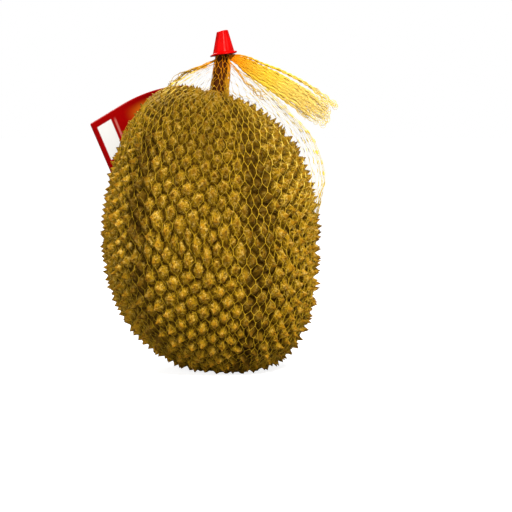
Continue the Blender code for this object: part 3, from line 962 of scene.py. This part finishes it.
def make_sleeve():
    """The close net around the stalk."""
    points, pairs, thick = [], [], []
    scatter = np.random.RandomState(SEED + 4)
    heights = np.linspace(SLEEVE_FROM_Z, SLEEVE_TO_Z, SLEEVE_ROWS + 1)
    for j, row_z in enumerate(heights):
        for i in range(SLEEVE_WALES):
            z = row_z + scatter.uniform(-SLEEVE_KNOT, SLEEVE_KNOT) * MM
            shift = scatter.uniform(-SLEEVE_JITTER, SLEEVE_JITTER)
            turn = 2 * math.pi * (i + 0.5 * (j % 2) + shift) / SLEEVE_WALES
            for rise in (-SLEEVE_KNOT, SLEEVE_KNOT):
                level = z + rise * MM
                points.append(around_stalk(level, stalk_radius(level) + SLEEVE_GAP + SLEEVE_LIFT, turn))
                thick.append(SLEEVE_SWELL)
            join_last(points, pairs)
    for j in range(SLEEVE_ROWS):
        for i in range(SLEEVE_WALES):
            for side in next_wales(i, j, SLEEVE_WALES):
                start = 2 * (j * SLEEVE_WALES + i) + 1
                end = 2 * ((j + 1) * SLEEVE_WALES + side)
                half = (points[start] + points[end]) / 2
                clear = stalk_radius(half.z) + SLEEVE_GAP + SLEEVE_LIFT
                turn = math.atan2(half.y, half.x - stalk_centre(half.z))
                points.append(around_stalk(half.z, clear, turn))
                thick.append(1.0)
                pairs += [(start, len(points) - 1), (len(points) - 1, end)]
    return strands("net_sleeve", points, pairs, thick, sleeve_yarn, SLEEVE_YARN)


def rope(route, count, wander, seed):
    """Strands that run together along a route of x, y, z and half width, winding past each other."""
    line = along([tuple(c * MM for c in row) for row in route], ROPE_STEPS)
    scatter = np.random.RandomState(seed)
    points, pairs, thick = [], [], []
    for _ in range(count):
        phase = scatter.uniform(0, 2 * math.pi)
        pace = scatter.uniform(0.5, 1.5)
        off = scatter.uniform(0.3, 1)
        for k, (x, y, z, half) in enumerate(line):
            t = k / (ROPE_STEPS - 1)
            angle = phase + 2 * math.pi * ROPE_TURNS * pace * t
            sway = wander * math.sin(7 * t * pace + phase)
            points.append((x + half * off * math.cos(angle), y + half * off * math.sin(angle) + sway * MM,
                           z + half * off * math.sin(angle * 0.9 + phase)))
            thick.append(1.0 + 0.5 * (scatter.uniform() < 0.15))
            if k:
                join_last(points, pairs)
    return points, pairs, thick


def make_ropes():
    """Where the bag's wales are drawn together: one bundle to each shoulder and one down the stalk."""
    routes = (
        (((-6, -1, 277, 0.6), (-13.2, -1, 272.2, 0.9), (-24.6, -2, 267.2, 1.2), (-30.8, -2, 264.6, 1.6),
          (-37, -3, 261.6, 2.2), (-45.8, -5, 257, 3.2), (-51, -7, 251.7, 4), (-53, -10, 246, 5)),
         11, 0.5, 21),
        (((0, -2, 276, 1.2), (1.2, -3.4, 268, 1.6), (0.2, -4.2, 258, 1.9), (-0.8, -4.8, 248, 2.1),
          (-1.4, -5.6, 238, 2.6)), 18, 0.4, 22),
        (((0, -1, 275, 0.5), (1.8, -2, 271, 0.6), (6.2, -3, 266.4, 0.8), (10.6, -4, 260, 0.9),
          (16.7, -6, 252.6, 1.3), (23, -8, 247, 2.2), (31, -10, 240, 4)), 6, 0.4, 23),
    )
    points, pairs, thick = [], [], []
    for route, count, wander, seed in routes:
        more, joins, swell = rope(route, count, wander, seed)
        pairs += [(a + len(points), b + len(points)) for a, b in joins]
        points += more
        thick += swell
    return strands("net_gathers", points, pairs, thick, bag_yarn, ROPE_YARN)


def make_tail():
    """The bag's free end: its wales lie side by side as a flat band that frays into loops."""
    line = along([(x * MM, 0, z * MM, half * MM) for x, z, half in TAIL_ROUTE], TAIL_STEPS)
    tangent = np.gradient(line[:, :3], axis=0)
    tangent /= np.linalg.norm(tangent, axis=1)[:, None]
    upward = np.stack([-tangent[:, 2], np.zeros(TAIL_STEPS), tangent[:, 0]], axis=1)
    scatter = np.random.RandomState(SEED + 5)
    points, pairs, thick = [], [], []
    for n in range(TAIL_STRANDS):
        share = n / (TAIL_STRANDS - 1)
        fringe = share > FRINGE_FROM
        under = share < UNDER_TO
        if fringe:
            lane = 0.86 + 1.0 * (share - FRINGE_FROM)
        elif under:
            lane = -0.98 + 1.6 * share
        else:
            lane = -0.80 + 1.42 * (share - UNDER_TO) / 0.78
        depth = scatter.uniform(-1, 1)
        phase = math.pi * (n % 2) + scatter.uniform(-0.4, 0.4)
        wave = scatter.uniform(0.03, 0.07)
        drift = scatter.uniform(-0.26, 0.26)
        finish = scatter.uniform(0.80, 1.0) if not fringe else scatter.uniform(0.92, 1.0)
        last = int(finish * (TAIL_STEPS - 1))
        for k in range(last + 1):
            t = k / (TAIL_STEPS - 1)
            spread = smooth_step(0.25, 0.7, t)
            fray = smooth_step(0.5, 1.0, t)
            across = lane * (0.86 + 0.14 * spread) + wave * math.sin(62 * t + phase)
            if fringe or under:
                across *= 0.9 + 0.17 * spread
            across += drift * fray * math.sin(9 * t + 2 * phase) + 0.3 * drift * fray
            half = line[k, 3]
            p = line[k, :3] + upward[k] * across * half
            p[1] += depth * TAIL_FLATNESS * half * (1 + 0.5 * fray)
            points.append(tuple(p))
            thick.append(1.0 - 0.25 * fray + 0.6 * (scatter.uniform() < 0.10))
            if k:
                join_last(points, pairs)
        if n % 2 and not under:
            reach = scatter.uniform(1.2, 2.6) * MM
            centre = Vector(points[-1]) + Vector(tangent[last]) * reach
            side = Vector(upward[last])
            ahead = Vector(tangent[last])
            for k in range(1, LOOP_STEPS):
                angle = math.pi + 2 * math.pi * k / LOOP_STEPS
                spot = centre + ahead * reach * math.cos(angle) + side * reach * math.sin(angle)
                points.append(tuple(spot))
                thick.append(0.8)
                join_last(points, pairs)
    return strands("net_tail", points, pairs, thick, tail_yarn, TAIL_YARN)


bag = make_bag()
net_extras = [make_sleeve(), make_ropes(), make_tail()]


# ---- closure cap ----

def make_cap():
    """Tapered hollow cap with shallow pressed facets, a wavy flange and a slightly sunken top."""
    wall_r, top_r = CAP_RIM_R, CAP_TOP_R
    inner_rim, inner_top = CAP_RIM_R - CAP_WALL, CAP_TOP_R - CAP_WALL
    length = CAP_LENGTH
    profile = [
        (0.02 * top_r, length - 0.9 * MM), (0.55 * top_r, length - 0.8 * MM),
        (0.78 * top_r, length - 0.15 * MM), (0.90 * top_r, length),
        (0.97 * top_r, length - 0.35 * MM), (top_r, length - 1.0 * MM)]
    for k in range(1, 12):
        t = k / 12
        profile.append((top_r + (wall_r - top_r) * t, length - 1.0 * MM - (length - 3.4 * MM) * t))
    profile += [
        (wall_r, 2.4 * MM), (wall_r + 0.5 * MM, 1.7 * MM), (CAP_FLANGE_R - 0.3 * MM, CAP_FLANGE_THICK),
        (CAP_FLANGE_R, 0.75 * MM), (CAP_FLANGE_R - 0.2 * MM, 0.15 * MM), (CAP_FLANGE_R - 0.8 * MM, 0),
        (inner_rim, 0), (inner_rim - 0.2 * MM, 1 * MM), (inner_top, length - 1.9 * MM),
        (0.02 * top_r, length - 1.9 * MM)]
    scatter = np.random.RandomState(SEED + 6)
    uneven = scatter.uniform(0, 2 * math.pi, 3)
    rings = []
    for radius, z in profile:
        ring = []
        for k in range(CAP_SIDES):
            a = 2 * math.pi * k / CAP_SIDES
            facet = abs(math.cos(CAP_FACETS * a / 2 + 0.4))
            on_wall = smooth_step(0, 0.25, z / length) * smooth_step(1.0, 0.9, z / length)
            r = radius * (1 - 0.045 * on_wall * (1 - facet))
            flange = smooth_step(wall_r, CAP_FLANGE_R, radius)
            lift = 0.35 * MM * math.sin(3 * a + uneven[0]) * flange
            crumple = 0.28 * MM * math.sin(2 * a + uneven[1]) * smooth_step(0.85, 1.0, z / length)
            x = r * math.cos(a) + CAP_SKEW * z
            ring.append(Vector((x, r * math.sin(a), z + lift * (z > 0.1 * MM) + crumple)))
        rings.append(ring)
    bm = lofted(rings)
    bmesh.ops.transform(bm, matrix=Matrix.Translation(CAP_RIM) @ Matrix.Rotation(CAP_TILT, 4, "Y"),
                        verts=bm.verts)
    mesh = finished(bm, "closure_cap_shell")
    mat, tree, shader = new_material("cap_red_plastic", IOR=1.45, Specular_IOR_Level=0.045)
    spots = use_group(tree, mottle, Place=object_place(tree), Blotch_scale=110.0, Grain_scale=1400.0)
    colour = mixed(tree, spots["Blotch"], rgb(0.31, 0.0002, 0.0002), rgb(0.39, 0.0003, 0.0003))
    rubs = times(tree, ranged(tree, spots["Grain"], 0.58, 0.75), 0.35)
    rubbed = mixed(tree, rubs, colour, rgb(0.50, 0.010, 0.008))
    rough = ranged(tree, spots["Blotch"], 0.0, 1.0, 0.30, 0.42)
    wear(tree, shader, Base_Color=rubbed, Roughness=rough,
         Normal=bumped(tree, spots["Grain"], 0.15, 0.2 * MM))
    cap = add_piece("closure_cap_shell", mesh, mat)
    mesh.shade_smooth()
    mesh.set_sharp_from_angle(angle=math.radians(50))
    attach(cap, "root")
    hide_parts("closure_cap")


make_cap()


# ---- label ----

def label_point(across, down):
    """Where a point of the flat label lies: flat at first, then bent round the fruit's shoulder."""
    rise = LABEL_SIDE * math.cos(LABEL_SKEW) - LABEL_FALL * math.sin(LABEL_SKEW)
    axis = LABEL_SIDE * math.sin(LABEL_SKEW) + LABEL_FALL * math.cos(LABEL_SKEW)
    inward = axis.cross(rise)
    run = across * math.cos(LABEL_SKEW) - down * math.sin(LABEL_SKEW)
    level = across * math.sin(LABEL_SKEW) + down * math.cos(LABEL_SKEW)
    flat = min(run, LABEL_FREE)
    angle = (run - flat) / LABEL_BEND_R
    forward = flat + LABEL_BEND_R * math.sin(angle)
    bent = LABEL_BEND_R * (1 - math.cos(angle))
    return LABEL_CORNER + rise * forward + inward * bent + axis * level


def label_material():
    """Coated card: red with a darker rim, a blank pale panel, a fold, turning orange at the far side."""
    mat, tree, shader = new_material("label_card_print", IOR=1.46, Specular_IOR_Level=0.12)
    across, down, _ = split_xyz(tree, put(tree, "ShaderNodeUVMap", uv_map="sheet").outputs[0])
    spots = use_group(tree, mottle, Place=object_place(tree), Blotch_scale=30.0, Grain_scale=1300.0)
    red = mixed(tree, spots["Blotch"], rgb(0.22, 0.0004, 0.0006), rgb(0.27, 0.0008, 0.001))
    lit = times(tree, ranged(tree, across, 0.32, 0.62), ranged(tree, down, 0.05, 0.20))
    warm = mixed(tree, lit, red, rgb(0.62, 0.16, 0.006))
    rim = maths(tree, "MINIMUM", maths(tree, "MINIMUM", across, down),
                maths(tree, "MINIMUM", minus(tree, 1.0, across), minus(tree, 1.0, down)))
    edged = mixed(tree, ranged(tree, rim, 0.035, 0.012), warm, rgb(0.20, 0.0005, 0.001))
    inside = times(tree, window(tree, across, (0.045, 0.055), (0.205, 0.195)),
                   window(tree, down, (0.085, 0.10), (0.60, 0.585)))
    panel = mixed(tree, inside, edged, rgb(0.62, 0.63, 0.64))
    fold = times(tree, window(tree, across, (0.222, 0.232), (0.252, 0.242)),
                 window(tree, down, (0.08, 0.16), (0.70, 0.55)))
    folded = mixed(tree, times(tree, fold, 0.45), panel, rgb(0.60, 0.22, 0.19))
    rough = ranged(tree, spots["Grain"], 0.3, 0.7, 0.28, 0.42)
    wear(tree, shader, Base_Color=folded, Roughness=rough,
         Normal=bumped(tree, spots["Grain"], 0.12, 0.1 * MM))
    return mat


def make_label():
    bm = bmesh.new()
    uv = bm.loops.layers.uv.new("sheet")
    bmesh.ops.create_grid(bm, x_segments=64, y_segments=40, size=0.5)
    bmesh.ops.translate(bm, vec=(0.5, 0.5, 0), verts=bm.verts)
    bmesh.ops.scale(bm, vec=(*LABEL_SIZE, 1), verts=bm.verts)
    corners = [v for v in bm.verts if len(v.link_faces) == 1]
    bmesh.ops.bevel(bm, geom=corners, affect="VERTICES", offset=LABEL_ROUND * 0.38, offset_type="OFFSET",
                    segments=5, profile=0.5)
    for face in bm.faces:
        for loop in face.loops:
            loop[uv].uv = (loop.vert.co.x / LABEL_SIZE[0], loop.vert.co.y / LABEL_SIZE[1])
    for v in bm.verts:
        v.co = label_point(v.co.x, v.co.y)
    bmesh.ops.recalc_face_normals(bm, faces=bm.faces)
    mesh = finished(bm, "label_sheet")
    label = add_piece("label_sheet", mesh, label_material())
    mesh.shade_smooth()
    body = label.modifiers.new("card", "SOLIDIFY")
    body.thickness = LABEL_THICK
    body.offset = 0
    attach(label, "root")
    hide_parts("label")


make_label()


# ---- floor, light, camera ----

def make_floor():
    bm = bmesh.new()
    bmesh.ops.create_grid(bm, x_segments=1, y_segments=1, size=FLOOR_SIZE)
    mesh = finished(bm, "floor")
    mat, tree, shader = new_material("floor_pale")
    grain = noise(tree, object_place(tree), 30.0, 3.0)
    tone = mixed(tree, grain, rgb(0.38, 0.38, 0.38), rgb(0.40, 0.40, 0.398))
    seen = put(tree, "ShaderNodeLightPath").outputs["Is Camera Ray"]
    shader.inputs["Emission Color"].default_value = rgb(1, 1, 1)
    wear(tree, shader, Base_Color=tone, Roughness=ranged(tree, grain, 0.3, 0.7, 0.7, 0.8),
         Emission_Strength=times(tree, seen, FLOOR_GLOW))
    floor = add_piece("floor", mesh, mat)


def add_light(name, place, aim, size, power, tint):
    data = bpy.data.lights.new(name, "AREA")
    data.size = size
    data.energy = power
    data.color = tint
    light = bpy.data.objects.new(name, data)
    light.location = place
    light.rotation_euler = (Vector(aim) - Vector(place)).to_track_quat("-Z", "Y").to_euler()
    bpy.context.scene.collection.objects.link(light)


def make_camera():
    data = bpy.data.cameras.new("camera")
    data.lens = LENS
    data.sensor_width = SENSOR
    camera = bpy.data.objects.new("camera", data)
    distance = VIEW_WIDTH * LENS / SENSOR
    back = Vector((0, -math.cos(VIEW_LIFT), math.sin(VIEW_LIFT)))
    camera.location = AIM + back * distance
    camera.rotation_euler = (-back).to_track_quat("-Z", "Y").to_euler()
    bpy.context.scene.collection.objects.link(camera)
    bpy.context.scene.camera = camera


def make_world():
    """Even studio light; the camera sees it as a plain white wall."""
    world = bpy.data.worlds.new("studio")
    world.use_nodes = True
    tree = world.node_tree
    shade = tree.nodes["Background"]
    seen = put(tree, "ShaderNodeLightPath").outputs["Is Camera Ray"]
    tree.links.new(ranged(tree, seen, 0.0, 1.0, AMBIENT, 1.0), shade.inputs["Strength"])
    shade.inputs["Color"].default_value = rgb(1, 1, 1)
    bpy.context.scene.world = world


make_floor()
for lamp in LIGHTS:
    add_light(*lamp)
make_world()
bpy.context.scene.view_settings.view_transform = "Standard"
make_camera()
